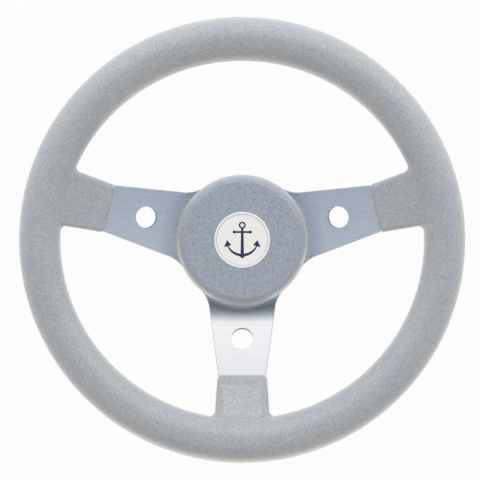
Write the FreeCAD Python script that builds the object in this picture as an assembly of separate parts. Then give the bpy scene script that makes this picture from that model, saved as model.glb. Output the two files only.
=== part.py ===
"""Three-spoke boat steering wheel with a soft moulded grip and a pull-off hub pad.

Units are millimetres. The wheel stands upright as it hangs on a helm: its axis runs
along Y, the helmsman is on the -Y side, +Z is up and +X is to the right.
The origin is the centre of the tapered bore's mouth on the hub's back face.
Depths are distances in front of that face, so a depth d lies at y = -d.

A flat centre plate carries three spokes that bend towards the helmsman. Each spoke
ends inside the foam grip, riveted to a steel tab that is welded to a round steel hoop.
Behind the plate is a moulded hub with a metal bush for the helm's tapered shaft.
In front of it a soft pad on a stiff carrier closes the nut well and bears the emblem.
"""
import FreeCAD, Part
import math
import os

# Whole wheel
WHEEL_DIAMETER = 340.0
GRIP_DIAMETER = 32.6
HOOP_ROD_DIAMETER = 10.0

# Spoke plate
PLATE_THICKNESS = 4.0
PLATE_DISC_DIAMETER = 100.0
PLATE_EDGE_RADIUS = 0.4
SPOKE_WIDTH_AT_SLEEVE = 36.4
SPOKE_TAPER_DEG = 7.8
SPOKE_TILT_DEG = 17.0
SPOKE_BEND_RADIUS = 22.0
SIDE_SPOKE_RISE_DEG = 13.3
SPOKE_ROOT_FILLET = 25.0
SPOKE_LENGTH_IN_SLEEVE = 29.5
SPOKE_END_CORNER_RADIUS = 4.0
LIGHTENING_HOLE_DIAMETER = 16.6
LIGHTENING_HOLE_BEFORE_SLEEVE = 28.2

# Sleeves, the parts of the grip that run down over the spokes
SLEEVE_LENGTH = 32.9
SLEEVE_SIDE_COVER = 0.8
SIDE_SLEEVE_UPPER_COVER = 0.2
SLEEVE_FRONT_COVER = 5.0
SLEEVE_BACK_COVER = 8.0
SLEEVE_EDGE_RADIUS = 3.0
SLEEVE_CORNER_RADIUS = 3.2
SLEEVE_ROOT_FILLET = 4.5
SIDE_SLEEVE_UPPER_FLARE_DEG = 6.5
SIDE_SLEEVE_LOWER_FLARE_DEG = 3.4
BOTTOM_SLEEVE_FLARE_DEG = 3.6

# Steel tabs and the rivets through spoke and tab
TAB_THICKNESS = 3.0
TAB_WIDTH = 24.0
TAB_OVERLAP_ON_SPOKE = 26.0
RIVET_DIAMETER = 5.0
RIVET_HEAD_DIAMETER = 9.0
RIVET_HEAD_HEIGHT = 2.2
RIVET_TAIL_HEIGHT = 1.6
RIVET_PITCH = 13.0

# Moulded hub
HUB_LENGTH = 38.0
HUB_BACK_DIAMETER = 45.0
HUB_NECK_DIAMETER = 54.0
HUB_FLANGE_DIAMETER = 82.0
HUB_FLANGE_THICKNESS = 7.0
HUB_EDGE_CHAMFER = 1.0
HUB_BOSS_DIAMETER = 13.0
HUB_BOSS_LENGTH = 10.0
HUB_BOSS_INSET = 2.5
HUB_RIB_THICKNESS = 2.6
HUB_RIB_LENGTH = 22.0
NUT_WELL_DIAMETER = 40.0
NUT_SEAT_DEPTH = 29.0

# Metal bush moulded into the hub, for a 3/4 inch shaft with a taper of 1 in 12
TAPER_MOUTH_DIAMETER = 19.05
TAPER_RATIO = 1.0 / 12.0
KEYWAY_WIDTH = 4.76
KEYWAY_DEPTH_FROM_AXIS = 11.9
BUSH_ACROSS_FLATS = 30.0
BUSH_FLANGE_DIAMETER = 38.0
BUSH_FLANGE_THICKNESS = 3.0
BUSH_GROOVE_DIAMETER = 29.0
BUSH_GROOVE_WIDTH = 4.0

# Screws and threaded inserts that hold the spoke plate on the hub
SCREW_COUNT = 6
SCREW_THREAD_DIAMETER = 5.0
SCREW_HEAD_DIAMETER = 10.0
SCREW_LENGTH = 12.0
SCREW_SOCKET_ACROSS_FLATS = 3.0
SCREW_SOCKET_DEPTH = 1.9
SCREW_HOLE_CLEARANCE = 0.25
THREAD_CLEARANCE = 0.05
INSERT_DIAMETER = 7.0
INSERT_LENGTH = 9.0
INSERT_GROOVE_DEPTH = 0.4
INSERT_GROOVE_WIDTH = 2.0
INSERT_RELIEF_LENGTH = 3.0

# Hub pad
PAD_DIAMETER = 100.4
PAD_HEIGHT = 20.0
PAD_SEAT_GAP = 0.3
PAD_EDGE_RADIUS = 4.5
PAD_BACK_CHAMFER = 0.8
PAD_SKIN_FRONT = 3.5
PAD_SKIN_SIDE = 4.0
CARRIER_WALL = 2.5
CARRIER_CHAMFER = 1.5
CARRIER_RIB_COUNT = 6
CARRIER_RIB_THICKNESS = 1.8
CARRIER_RIB_SETBACK = 1.7
SPIGOT_CLEARANCE = 0.4
SPIGOT_WALL = 3.0
SPIGOT_DEPTH_IN_HUB = 5.0
RING_GROOVE_DEPTH = 1.6
RING_GROOVE_WIDTH = 2.2
RING_FROM_SPIGOT_END = 2.5
RING_RUNNING_GAP = 0.15

# Emblem in the middle of the pad
EMBLEM_DIAMETER = 43.0
EMBLEM_RECESS_CLEARANCE = 0.1
EMBLEM_RECESS_DEPTH = 1.3
EMBLEM_TAPE_INSET = 1.5
EMBLEM_TAPE_THICKNESS = 0.3
BEZEL_HEIGHT = 1.5
BEZEL_RING_WIDTH = 1.85
BEZEL_FLOOR = 0.6
BEZEL_EDGE_CHAMFER = 0.3
EMBLEM_DISC_THICKNESS = 0.6
EMBLEM_DISC_CLEARANCE = 0.35
MOTIF_DEPTH = 0.2

# Anchor on the emblem disc, measured from the emblem's centre
ANCHOR_EYE_HEIGHT = 11.2
ANCHOR_EYE_OUTER_RADIUS = 2.7
ANCHOR_EYE_INNER_RADIUS = 1.5
ANCHOR_SHANK_TOP_WIDTH = 1.8
ANCHOR_SHANK_FOOT_WIDTH = 2.6
ANCHOR_STOCK_HEIGHT = 6.0
ANCHOR_STOCK_SPAN = 12.4
ANCHOR_STOCK_WIDTH = 1.5
ANCHOR_STOCK_KNOB_RADIUS = 1.15
ANCHOR_ARM_RADIUS = 12.2
ANCHOR_ARM_CENTRE_HEIGHT = -0.5
ANCHOR_ARM_THICKNESS = 2.1
ANCHOR_ARM_TOP = -4.0
ANCHOR_FLUKE_LENGTH = 5.6
ANCHOR_FLUKE_WIDTH = 5.8
ANCHOR_CROWN_DROP = 1.6

TILT = math.radians(SPOKE_TILT_DEG)
GRIP_RADIUS = GRIP_DIAMETER / 2
HOOP_RADIUS = WHEEL_DIAMETER / 2 - GRIP_RADIUS
HOOP_ROD_RADIUS = HOOP_ROD_DIAMETER / 2
RIM_INNER_RADIUS = HOOP_RADIUS - GRIP_RADIUS
SLEEVE_START_FROM_AXIS = RIM_INNER_RADIUS - SLEEVE_LENGTH
LIGHTENING_HOLE_FROM_AXIS = SLEEVE_START_FROM_AXIS - LIGHTENING_HOLE_BEFORE_SLEEVE
HALF_PLATE = PLATE_THICKNESS / 2
PLATE_BACK = HUB_LENGTH
PLATE_FRONT = HUB_LENGTH + PLATE_THICKNESS
PLATE_MIDDLE = HUB_LENGTH + HALF_PLATE
DISC_RADIUS = PLATE_DISC_DIAMETER / 2
WELL_RADIUS = NUT_WELL_DIAMETER / 2
SCREW_CIRCLE_RADIUS = (HUB_FLANGE_DIAMETER - HUB_BOSS_DIAMETER) / 2 - HUB_BOSS_INSET
SPOKE_ANGLES = {
    "right": SIDE_SPOKE_RISE_DEG,
    "left": 180 - SIDE_SPOKE_RISE_DEG,
    "bottom": 270,
}

# The bend starts at the disc's edge, and the slope runs on from its end
BEND_END_FROM_AXIS = DISC_RADIUS + SPOKE_BEND_RADIUS * math.sin(TILT)
BEND_END_DEPTH = PLATE_MIDDLE + SPOKE_BEND_RADIUS * (1 - math.cos(TILT))

AXIS = FreeCAD.Vector(0, 1, 0)
ORIGIN = FreeCAD.Vector(0, 0, 0)


def slope_depth(from_axis):
    """Depth of the spoke's middle surface where it is straight."""
    return BEND_END_DEPTH + (from_axis - BEND_END_FROM_AXIS) * math.tan(TILT)


# The tabs lie behind the spokes, and the hoop's centre lies in the tabs' middle plane
HOOP_DEPTH = slope_depth(HOOP_RADIUS) - (HALF_PLATE + TAB_THICKNESS / 2) / math.cos(TILT)


def point(across, depth, up=0.0):
    return FreeCAD.Vector(across, -depth, up)


def loop_face(edges):
    return Part.Face(Part.Wire(edges))


def polygon_face(corners):
    return Part.Face(Part.makePolygon(corners + corners[:1]))


def turned(profile):
    """Solid of revolution about the wheel's axis, from (radius, depth) corners."""
    face = polygon_face([point(radius, depth) for radius, depth in profile])
    return face.revolve(ORIGIN, AXIS, 360)


def disc(radius, back, front):
    """Cylinder on the wheel's axis between two depths."""
    return Part.makeCylinder(radius, front - back, point(0, front), AXIS)


def tube(outer, inner, back, front):
    return disc(outer, back, front).cut(disc(inner, back, front))


def around_axis(shape, angle_deg):
    """Turn a shape made along +X to an angle that is counted from +X towards +Z."""
    copy = shape.copy()
    copy.rotate(ORIGIN, AXIS, -angle_deg)
    return copy


def on_slope(shape, from_axis):
    """Move a shape from the slope's own frame to the spoke along +X.

    In that frame x runs outwards along the slope, y runs to the back and z across.
    """
    copy = shape.copy()
    copy.rotate(ORIGIN, FreeCAD.Vector(0, 0, 1), -SPOKE_TILT_DEG)
    copy.translate(point(from_axis, slope_depth(from_axis)))
    return copy


def along_slope(start, end):
    """Length on the slope between two distances from the axis."""
    return (end - start) / math.cos(TILT)


def fused(shapes):
    result = shapes[0].multiFuse(shapes[1:]) if len(shapes) > 1 else shapes[0]
    return result.removeSplitter()


def one_solid(shape):
    solids = shape.Solids
    if len(solids) != 1:
        raise ValueError("expected one solid, found %d" % len(solids))
    return solids[0]


def hexagon(across_flats, back, front):
    radius = across_flats / 2 / math.cos(math.pi / 6)
    corners = []
    for index in range(6):
        angle = math.radians(60 * index)
        corners.append(point(radius * math.cos(angle), front, radius * math.sin(angle)))
    return polygon_face(corners).extrude(AXIS * (front - back))


# Spoke plate

def spoke_half_width(from_axis):
    taper = math.tan(math.radians(SPOKE_TAPER_DEG))
    return SPOKE_WIDTH_AT_SLEEVE / 2 + (SLEEVE_START_FROM_AXIS - from_axis) * taper


SPOKE_END_FROM_AXIS = SLEEVE_START_FROM_AXIS + SPOKE_LENGTH_IN_SLEEVE


def root_fillet():
    """Points where the fillet beside a spoke leaves the edge and meets the disc.

    They are (outwards, across) for the spoke along +X, with the fillet's middle point.
    """
    taper = math.radians(SPOKE_TAPER_DEG)
    normal = (math.sin(taper), math.cos(taper))
    edge_offset = spoke_half_width(0) * normal[1]
    reach = DISC_RADIUS + SPOKE_ROOT_FILLET
    offset = edge_offset + SPOKE_ROOT_FILLET
    along = math.sqrt(reach ** 2 - offset ** 2)
    centre = (normal[0] * offset + normal[1] * along, normal[1] * offset - normal[0] * along)
    on_edge = (centre[0] - normal[0] * SPOKE_ROOT_FILLET, centre[1] - normal[1] * SPOKE_ROOT_FILLET)
    on_disc = (centre[0] * DISC_RADIUS / reach, centre[1] * DISC_RADIUS / reach)
    towards = (on_edge[0] + on_disc[0] - 2 * centre[0], on_edge[1] + on_disc[1] - 2 * centre[1])
    size = math.hypot(*towards)
    middle = (centre[0] + towards[0] / size * SPOKE_ROOT_FILLET,
              centre[1] + towards[1] / size * SPOKE_ROOT_FILLET)
    return on_edge, middle, on_disc


def end_corner():
    """Points of the rounded corner between a spoke's edge and its end."""
    taper = math.radians(SPOKE_TAPER_DEG)
    corner = SPOKE_END_CORNER_RADIUS
    centre_out = SPOKE_END_FROM_AXIS - corner
    centre_across = spoke_half_width(centre_out) - corner / math.cos(taper)
    halfway = math.radians(90 - SPOKE_TAPER_DEG) / 2
    on_edge = (centre_out + corner * math.sin(taper), centre_across + corner * math.cos(taper))
    middle = (centre_out + corner * math.cos(halfway), centre_across + corner * math.sin(halfway))
    on_end = (SPOKE_END_FROM_AXIS, centre_across)
    return on_edge, middle, on_end


def plate_outline():
    """Outline of the plate as seen from the front, as one face at depth 0."""
    root_edge, root_middle, root_disc = root_fillet()
    corner_edge, corner_middle, corner_end = end_corner()
    disc_start = math.degrees(math.atan2(root_disc[1], root_disc[0]))
    angles = sorted(SPOKE_ANGLES.values())
    edges = []
    for index, angle_deg in enumerate(angles):
        angle = math.radians(angle_deg)

        def place(local, side):
            out, across = local[0], local[1] * side
            return point(out * math.cos(angle) - across * math.sin(angle), 0,
                         out * math.sin(angle) + across * math.cos(angle))

        def half_spoke(side):
            return [
                Part.Arc(place(root_disc, side), place(root_middle, side),
                         place(root_edge, side)).toShape(),
                Part.makeLine(place(root_edge, side), place(corner_edge, side)),
                Part.Arc(place(corner_edge, side), place(corner_middle, side),
                         place(corner_end, side)).toShape(),
            ]

        edges += half_spoke(-1)
        edges.append(Part.makeLine(place(corner_end, -1), place(corner_end, 1)))
        edges += half_spoke(1)[::-1]
        following = angles[index + 1] if index + 1 < len(angles) else angles[0] + 360
        edges.append(Part.makeCircle(DISC_RADIUS, ORIGIN, AXIS * -1, angle_deg + disc_start,
                                     following - disc_start))
    return loop_face(edges)


def bent_strip():
    """Bent strip along +X, wider than a spoke, with the plate's thickness."""
    centre_depth = PLATE_MIDDLE + SPOKE_BEND_RADIUS
    length = along_slope(BEND_END_FROM_AXIS, SPOKE_END_FROM_AXIS) + PLATE_THICKNESS

    def bend_point(radius, turn):
        return point(DISC_RADIUS + radius * math.sin(turn), centre_depth - radius * math.cos(turn))

    def far_point(radius):
        return bend_point(radius, TILT) + point(length * math.cos(TILT), length * math.sin(TILT))

    back_radius = SPOKE_BEND_RADIUS + HALF_PLATE
    front_radius = SPOKE_BEND_RADIUS - HALF_PLATE
    edges = [
        Part.makeLine(point(0, PLATE_BACK), bend_point(back_radius, 0)),
        Part.Arc(bend_point(back_radius, 0), bend_point(back_radius, TILT / 2),
                 bend_point(back_radius, TILT)).toShape(),
        Part.makeLine(bend_point(back_radius, TILT), far_point(back_radius)),
        Part.makeLine(far_point(back_radius), far_point(front_radius)),
        Part.makeLine(far_point(front_radius), bend_point(front_radius, TILT)),
        Part.Arc(bend_point(front_radius, TILT), bend_point(front_radius, TILT / 2),
                 bend_point(front_radius, 0)).toShape(),
        Part.makeLine(bend_point(front_radius, 0), point(0, PLATE_FRONT)),
        Part.makeLine(point(0, PLATE_FRONT), point(0, PLATE_BACK)),
    ]
    width = 0.8 * PLATE_DISC_DIAMETER
    strip = loop_face(edges).extrude(FreeCAD.Vector(0, 0, width))
    strip.translate(FreeCAD.Vector(0, 0, -width / 2))
    return strip


def plate_blank():
    """Bent plate without its holes."""
    strip = bent_strip()
    shapes = [disc(DISC_RADIUS, PLATE_BACK, PLATE_FRONT)]
    shapes += [around_axis(strip, angle) for angle in SPOKE_ANGLES.values()]
    reach = WHEEL_DIAMETER
    cutter = plate_outline()
    cutter.translate(point(0, reach))
    blank = one_solid(fused(shapes).common(cutter.extrude(AXIS * reach)))
    return one_solid(blank.makeFillet(PLATE_EDGE_RADIUS, rim_edges(blank)))


def middle_tangent(edge):
    return edge.tangentAt((edge.FirstParameter + edge.LastParameter) / 2)


def rim_edges(blank):
    """Edges between the plate's cut outline and its front and back faces."""
    edges = []
    for face in blank.Faces:
        first_u, last_u, first_v, last_v = face.ParameterRange
        normal = face.normalAt((first_u + last_u) / 2, (first_v + last_v) / 2)
        if abs(normal.y) < 1e-6:
            edges += [edge for edge in face.Edges if abs(middle_tangent(edge).y) < 0.9]
    return edges


def screw_angles():
    return [90 + 360 / SCREW_COUNT * index for index in range(SCREW_COUNT)]


def at_screw(shape, angle):
    """Move a shape from the wheel's axis to a screw's axis."""
    copy = shape.copy()
    copy.translate(FreeCAD.Vector(SCREW_CIRCLE_RADIUS, 0, 0))
    return around_axis(copy, angle)


def countersink(depth_radius):
    """Cone of the screw's head, down to the radius where it meets the hole or the shank."""
    head_radius = SCREW_HEAD_DIAMETER / 2
    return turned([(0, PLATE_FRONT), (head_radius, PLATE_FRONT),
                   (depth_radius, PLATE_FRONT - head_radius + depth_radius),
                   (0, PLATE_FRONT - head_radius + depth_radius)])


def spoke_plate():
    plate = plate_blank().cut(disc(WELL_RADIUS, PLATE_BACK, PLATE_FRONT))
    hole_radius = SCREW_THREAD_DIAMETER / 2 + SCREW_HOLE_CLEARANCE
    hole = disc(hole_radius, PLATE_BACK, PLATE_FRONT).fuse(countersink(hole_radius))
    tools = [at_screw(hole, angle) for angle in screw_angles()]
    depth = 3 * PLATE_THICKNESS
    window = Part.makeCylinder(LIGHTENING_HOLE_DIAMETER / 2, depth,
                               FreeCAD.Vector(0, -depth / 2, 0), AXIS)
    for angle in SPOKE_ANGLES.values():
        tools.append(around_axis(on_slope(window, LIGHTENING_HOLE_FROM_AXIS), angle))
        tools += [around_axis(shank, angle) for shank in rivet_holes()]
    return one_solid(plate.cut(tools))


# Steel hoop, tabs and rivets

def ring_solid(ring_radius, section_radius, depth):
    return Part.makeTorus(ring_radius, section_radius, point(0, depth), AXIS)


def rim_core():
    return ring_solid(HOOP_RADIUS, HOOP_ROD_RADIUS, HOOP_DEPTH)


def rivet_places():
    """Distances from the axis of the two rivets of a spoke."""
    middle = SPOKE_END_FROM_AXIS - TAB_OVERLAP_ON_SPOKE / 2
    half_pitch = RIVET_PITCH / 2 * math.cos(TILT)
    return [middle - half_pitch, middle + half_pitch]


def rivet_holes():
    """Holes through spoke and tab, which the closed rivets fill."""
    length = 2 * (PLATE_THICKNESS + TAB_THICKNESS)
    hole = Part.makeCylinder(RIVET_DIAMETER / 2, length, FreeCAD.Vector(0, -length / 2, 0), AXIS)
    return [on_slope(hole, place) for place in rivet_places()]


def rivet():
    """Rivet on the slope's own y axis, with its round head in front of the plate."""
    head = RIVET_HEAD_DIAMETER / 2
    shank = RIVET_DIAMETER / 2
    front = -HALF_PLATE
    back = HALF_PLATE + TAB_THICKNESS

    def at(radius, y):
        return FreeCAD.Vector(radius, y, 0)

    def dome(edge_y, height):
        """Arc from the head's edge to its top, round a centre on the rivet's axis."""
        round_radius = (head ** 2 + height ** 2) / (2 * abs(height))
        half_angle = math.asin(head / round_radius) / 2
        rise = round_radius * (1 - math.cos(half_angle))
        middle = at(round_radius * math.sin(half_angle),
                    edge_y + math.copysign(abs(height) - rise, height))
        return Part.Arc(at(head, edge_y), middle, at(0, edge_y + height)).toShape()

    edges = [
        Part.makeLine(at(shank, front), at(head, front)),
        dome(front, -RIVET_HEAD_HEIGHT),
        Part.makeLine(at(0, front - RIVET_HEAD_HEIGHT), at(0, back + RIVET_TAIL_HEIGHT)),
        dome(back, RIVET_TAIL_HEIGHT),
        Part.makeLine(at(head, back), at(shank, back)),
        Part.makeLine(at(shank, back), at(shank, front)),
    ]
    return loop_face(edges).revolve(ORIGIN, AXIS, 360)


def spoke_rivets():
    return [on_slope(rivet(), place) for place in rivet_places()]


def core_tab():
    """Tab along +X, from behind the spoke to the hoop's inner side."""
    start = SPOKE_END_FROM_AXIS - TAB_OVERLAP_ON_SPOKE
    length = along_slope(start, HOOP_RADIUS)
    plate = Part.makeBox(length, TAB_THICKNESS, TAB_WIDTH,
                         FreeCAD.Vector(0, HALF_PLATE, -TAB_WIDTH / 2))
    return one_solid(on_slope(plate, start).cut([rim_core()] + rivet_holes()))


# Foam grip

def sleeve_side(sign, cover, flare_deg, root, front):
    """Edges of one side of a sleeve, from the middle of its end to the rim's inner edge.

    They lie in the slope's frame. The last value is the side's reach across at the rim.
    """
    flare = math.radians(flare_deg)
    corner = SLEEVE_CORNER_RADIUS
    fillet = SLEEVE_ROOT_FILLET
    half_turn = (math.pi / 2 - flare) / 2
    half_end = SPOKE_WIDTH_AT_SLEEVE / 2 + cover
    corner_z = half_end - corner * math.tan(half_turn)
    on_side = (corner - corner * math.sin(flare), corner_z + corner * math.cos(flare))
    corner_middle = (corner - corner * math.cos(half_turn), corner_z + corner * math.sin(half_turn))
    fillet_x = root - fillet
    fillet_z = half_end + fillet_x * math.tan(flare) + fillet / math.cos(flare)
    leave = (fillet_x + fillet * math.sin(flare), fillet_z - fillet * math.cos(flare))
    half_swing = math.pi / 4 + flare / 2
    fillet_middle = (fillet_x + fillet * math.sin(half_swing), fillet_z - fillet * math.cos(half_swing))

    def at(place):
        return FreeCAD.Vector(place[0], front, sign * place[1])

    return [
        Part.makeLine(at((0, 0)), at((0, corner_z))),
        Part.Arc(at((0, corner_z)), at(corner_middle), at(on_side)).toShape(),
        Part.makeLine(at(on_side), at(leave)),
        Part.Arc(at(leave), at(fillet_middle), at((root, fillet_z))).toShape(),
    ], fillet_z


def sleeve_blank(upper_side, lower_side):
    """Solid sleeve along +X. Each side is (cover beside the spoke, flare in degrees)."""
    front = -(HALF_PLATE + SLEEVE_FRONT_COVER)
    back = HALF_PLATE + SLEEVE_BACK_COVER
    root = along_slope(SLEEVE_START_FROM_AXIS, RIM_INNER_RADIUS)
    buried = along_slope(SLEEVE_START_FROM_AXIS, HOOP_RADIUS - GRIP_RADIUS / 2)
    upper, upper_z = sleeve_side(1, *upper_side, root, front)
    lower, lower_z = sleeve_side(-1, *lower_side, root, front)
    corners = [FreeCAD.Vector(x, front, z) for x, z in (
        (root, upper_z), (buried, upper_z), (buried, -lower_z), (root, -lower_z))]
    inside_rim = [Part.makeLine(start, end) for start, end in zip(corners, corners[1:])]
    body = loop_face(lower[::-1] + upper + inside_rim).extrude(AXIS * (back - front))
    outer_edges = []
    for edge in body.Edges:
        middle = edge.valueAt((edge.FirstParameter + edge.LastParameter) / 2)
        on_face = min(abs(middle.y - front), abs(middle.y - back)) < 0.001
        if on_face and middle.x < root - 0.01:
            outer_edges.append(edge)
    rounded = body.makeFillet(SLEEVE_EDGE_RADIUS, outer_edges)
    return on_slope(one_solid(rounded), SLEEVE_START_FROM_AXIS)


def sleeve_sides(name):
    """Sides of a sleeve, first the one that faces on in the direction of rising angles."""
    upper = (SIDE_SLEEVE_UPPER_COVER, SIDE_SLEEVE_UPPER_FLARE_DEG)
    lower = (SLEEVE_SIDE_COVER, SIDE_SLEEVE_LOWER_FLARE_DEG)
    even = (SLEEVE_SIDE_COVER, BOTTOM_SLEEVE_FLARE_DEG)
    return {"right": (upper, lower), "left": (lower, upper), "bottom": (even, even)}[name]


def rim_grip(inner_pieces):
    shapes = [ring_solid(HOOP_RADIUS, GRIP_RADIUS, HOOP_DEPTH)]
    for name, angle in SPOKE_ANGLES.items():
        shapes.append(around_axis(sleeve_blank(*sleeve_sides(name)), angle))
    return one_solid(fused(shapes).cut(inner_pieces))


# Hub, bush, inserts and screws

def bush_blank():
    """Outer form of the bush, without its bore and keyway."""
    flange_back = NUT_SEAT_DEPTH - BUSH_FLANGE_THICKNESS
    body = hexagon(BUSH_ACROSS_FLATS, 0, flange_back)
    groove_middle = flange_back / 2
    groove = tube(BUSH_ACROSS_FLATS, BUSH_GROOVE_DIAMETER / 2,
                  groove_middle - BUSH_GROOVE_WIDTH / 2, groove_middle + BUSH_GROOVE_WIDTH / 2)
    flange = disc(BUSH_FLANGE_DIAMETER / 2, flange_back, NUT_SEAT_DEPTH)
    return one_solid(body.cut(groove).fuse(flange).removeSplitter())


def taper_bush():
    mouth = TAPER_MOUTH_DIAMETER / 2
    seat = (TAPER_MOUTH_DIAMETER - NUT_SEAT_DEPTH * TAPER_RATIO) / 2
    taper = turned([(0, 0), (mouth, 0), (seat, NUT_SEAT_DEPTH), (0, NUT_SEAT_DEPTH)])
    keyway = Part.makeBox(KEYWAY_WIDTH, NUT_SEAT_DEPTH, KEYWAY_DEPTH_FROM_AXIS,
                          point(-KEYWAY_WIDTH / 2, NUT_SEAT_DEPTH))
    return one_solid(bush_blank().cut([taper, keyway]))


def insert_blank():
    """Outer form of a threaded insert, on the wheel's axis."""
    radius = INSERT_DIAMETER / 2
    middle = HUB_LENGTH - INSERT_LENGTH / 2
    groove = tube(radius + 1, radius - INSERT_GROOVE_DEPTH,
                  middle - INSERT_GROOVE_WIDTH / 2, middle + INSERT_GROOVE_WIDTH / 2)
    return disc(radius, HUB_LENGTH - INSERT_LENGTH, HUB_LENGTH).cut(groove)


def hub_inserts():
    bore = disc(SCREW_THREAD_DIAMETER / 2 + THREAD_CLEARANCE, 0, HUB_LENGTH)
    insert = insert_blank().cut(bore)
    return [at_screw(insert, angle) for angle in screw_angles()]


def hub_screws():
    shank_radius = SCREW_THREAD_DIAMETER / 2
    shank = disc(shank_radius, PLATE_FRONT - SCREW_LENGTH, PLATE_FRONT)
    socket = hexagon(SCREW_SOCKET_ACROSS_FLATS, PLATE_FRONT - SCREW_SOCKET_DEPTH, PLATE_FRONT)
    screw = shank.fuse(countersink(shank_radius)).removeSplitter().cut(socket)
    return [at_screw(screw, angle) for angle in screw_angles()]


def hub_body():
    back = HUB_BACK_DIAMETER / 2
    neck = HUB_NECK_DIAMETER / 2
    flange = HUB_FLANGE_DIAMETER / 2
    flange_back = HUB_LENGTH - HUB_FLANGE_THICKNESS
    bevel = HUB_EDGE_CHAMFER
    shapes = [turned([
        (0, 0), (back - bevel, 0), (back, bevel), (neck, flange_back),
        (flange - bevel, flange_back), (flange, flange_back + bevel),
        (flange, HUB_LENGTH), (0, HUB_LENGTH),
    ])]
    boss = disc(HUB_BOSS_DIAMETER / 2, flange_back - HUB_BOSS_LENGTH, HUB_LENGTH)
    shapes += [at_screw(boss, angle) for angle in screw_angles()]
    rib = polygon_face([
        point(back - 2 * bevel, flange_back - HUB_RIB_LENGTH),
        point(back, flange_back - HUB_RIB_LENGTH),
        point(flange - 2 * bevel, flange_back),
        point(back - 2 * bevel, flange_back),
    ]).extrude(FreeCAD.Vector(0, 0, HUB_RIB_THICKNESS))
    rib.translate(FreeCAD.Vector(0, 0, -HUB_RIB_THICKNESS / 2))
    half_step = 180 / SCREW_COUNT
    shapes += [around_axis(rib, angle + half_step) for angle in screw_angles()]
    tools = [bush_blank(), disc(WELL_RADIUS, NUT_SEAT_DEPTH, HUB_LENGTH)]
    relief_end = HUB_LENGTH - INSERT_LENGTH
    relief = disc(SCREW_THREAD_DIAMETER / 2 + SCREW_HOLE_CLEARANCE,
                  relief_end - INSERT_RELIEF_LENGTH, relief_end)
    for angle in screw_angles():
        tools += [at_screw(insert_blank(), angle), at_screw(relief, angle)]
    return one_solid(fused(shapes).cut(tools))


# Hub pad

PAD_RADIUS = PAD_DIAMETER / 2
PAD_SEAT = PLATE_FRONT + PAD_SEAT_GAP
PAD_FACE = PLATE_FRONT + PAD_HEIGHT
CARRIER_RADIUS = PAD_RADIUS - PAD_SKIN_SIDE
CARRIER_FACE = PAD_FACE - PAD_SKIN_FRONT
SPIGOT_RADIUS = WELL_RADIUS - SPIGOT_CLEARANCE
SPIGOT_BORE_RADIUS = SPIGOT_RADIUS - SPIGOT_WALL
SPIGOT_END = HUB_LENGTH - SPIGOT_DEPTH_IN_HUB
RING_MIDDLE = SPIGOT_END + RING_FROM_SPIGOT_END
RING_GROOVE_RADIUS = SPIGOT_RADIUS - RING_GROOVE_DEPTH


def pad_carrier():
    inner_face = CARRIER_FACE - CARRIER_WALL
    skirt_inner = CARRIER_RADIUS - CARRIER_WALL
    shell = turned([
        (0, CARRIER_FACE), (CARRIER_RADIUS - CARRIER_CHAMFER, CARRIER_FACE),
        (CARRIER_RADIUS, CARRIER_FACE - CARRIER_CHAMFER), (CARRIER_RADIUS, PAD_SEAT),
        (skirt_inner, PAD_SEAT), (skirt_inner, inner_face), (0, inner_face),
    ])
    rib_length = skirt_inner - SPIGOT_BORE_RADIUS
    rib_back = PAD_SEAT + CARRIER_RIB_SETBACK
    rib = Part.makeBox(rib_length, inner_face - rib_back, CARRIER_RIB_THICKNESS,
                       point(SPIGOT_BORE_RADIUS, inner_face, -CARRIER_RIB_THICKNESS / 2))
    ribs = [around_axis(rib, 360 / CARRIER_RIB_COUNT * index) for index in range(CARRIER_RIB_COUNT)]
    spigot = disc(SPIGOT_RADIUS, SPIGOT_END, inner_face)
    bore = disc(SPIGOT_BORE_RADIUS, SPIGOT_END, inner_face)
    groove = tube(SPIGOT_RADIUS + 1, RING_GROOVE_RADIUS,
                  RING_MIDDLE - RING_GROOVE_WIDTH / 2, RING_MIDDLE + RING_GROOVE_WIDTH / 2)
    return one_solid(fused([shell, spigot] + ribs).cut([bore, groove]))


def pad_ring():
    """Rubber ring in the spigot's groove, which grips the nut well."""
    outer = WELL_RADIUS - RING_RUNNING_GAP
    section = (outer - RING_GROOVE_RADIUS) / 2
    return ring_solid(RING_GROOVE_RADIUS + section, section, RING_MIDDLE)


def pad_cover():
    round_start = PAD_FACE - PAD_EDGE_RADIUS
    corner = PAD_EDGE_RADIUS * (1 - math.sqrt(0.5))
    edges = [
        Part.makeLine(point(0, PAD_FACE), point(PAD_RADIUS - PAD_EDGE_RADIUS, PAD_FACE)),
        Part.Arc(point(PAD_RADIUS - PAD_EDGE_RADIUS, PAD_FACE),
                 point(PAD_RADIUS - corner, PAD_FACE - corner),
                 point(PAD_RADIUS, round_start)).toShape(),
    ]
    corners = [
        point(PAD_RADIUS, round_start), point(PAD_RADIUS, PAD_SEAT + PAD_BACK_CHAMFER),
        point(PAD_RADIUS - PAD_BACK_CHAMFER, PAD_SEAT), point(CARRIER_RADIUS, PAD_SEAT),
        point(CARRIER_RADIUS, CARRIER_FACE - CARRIER_CHAMFER),
        point(CARRIER_RADIUS - CARRIER_CHAMFER, CARRIER_FACE), point(0, CARRIER_FACE),
        point(0, PAD_FACE),
    ]
    edges += [Part.makeLine(start, end) for start, end in zip(corners, corners[1:])]
    body = loop_face(edges).revolve(ORIGIN, AXIS, 360)
    recess = disc(EMBLEM_DIAMETER / 2 + EMBLEM_RECESS_CLEARANCE,
                  PAD_FACE - EMBLEM_RECESS_DEPTH, PAD_FACE)
    return one_solid(body.cut(recess))


# Emblem

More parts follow.
